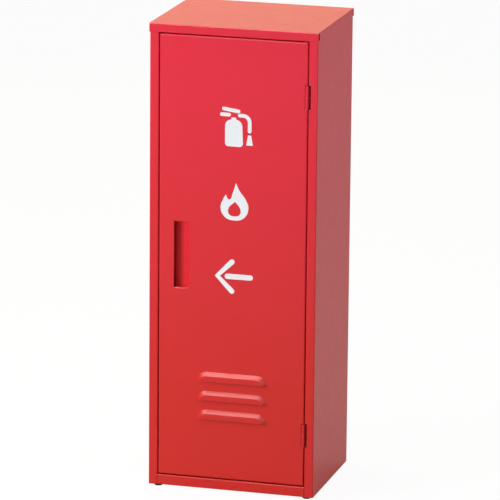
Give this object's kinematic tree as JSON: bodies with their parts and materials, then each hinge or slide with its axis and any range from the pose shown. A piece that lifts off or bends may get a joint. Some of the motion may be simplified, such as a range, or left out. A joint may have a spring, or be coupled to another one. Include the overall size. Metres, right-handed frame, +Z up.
{
  "type": "fire extinguisher cabinet",
  "caption": "Tall narrow floor-standing sheet-steel cabinet with a flush side-hinged door, a scooped finger pull and pressed ventilation louvres.",
  "frame": {"origin": "on the floor, under the middle of the cabinet", "axes": "+Z up, +X towards the hinge side, -Y out of the door"},
  "size_m": [0.2534, 0.2068, 0.7],
  "materials": {
    "body_paint": "baked red enamel with a fine orange peel, half gloss",
    "door_paint": "baked red enamel with a fine orange peel, half gloss",
    "plated_steel": "bright zinc plate",
    "black_plastic": "moulded black plastic with a fine texture",
    "rubber": "moulded black rubber"
  },
  "bodies": {
    "cabinet": {"left_side": "body_paint", "right_side": "body_paint", "back_panel": "body_paint", "top_cover": "body_paint", "bottom_pan": "body_paint", "foot_front_left": "rubber", "foot_front_right": "rubber", "foot_back_left": "rubber", "foot_back_right": "rubber", "upper_frame_leaf": "body_paint", "lower_frame_leaf": "body_paint", "upper_hinge_pin": "plated_steel", "lower_hinge_pin": "plated_steel", "upper_hinge_ring": "plated_steel", "lower_hinge_ring": "plated_steel", "catch_housing": "black_plastic", "catch_magnet": "plated_steel", "bumper_top": "rubber", "bumper_bottom": "rubber"},
    "door": {"door_panel": "door_paint", "upper_door_leaf": "door_paint", "lower_door_leaf": "door_paint"}
  },
  "joints": [
    {"name": "door_hinge", "type": "hinge", "parent": "cabinet", "child": "door", "pos_m": [0.11, -0.0969, 0.3507], "axis": [0, 0, 1], "range_deg": [0, 120]}
  ]
}
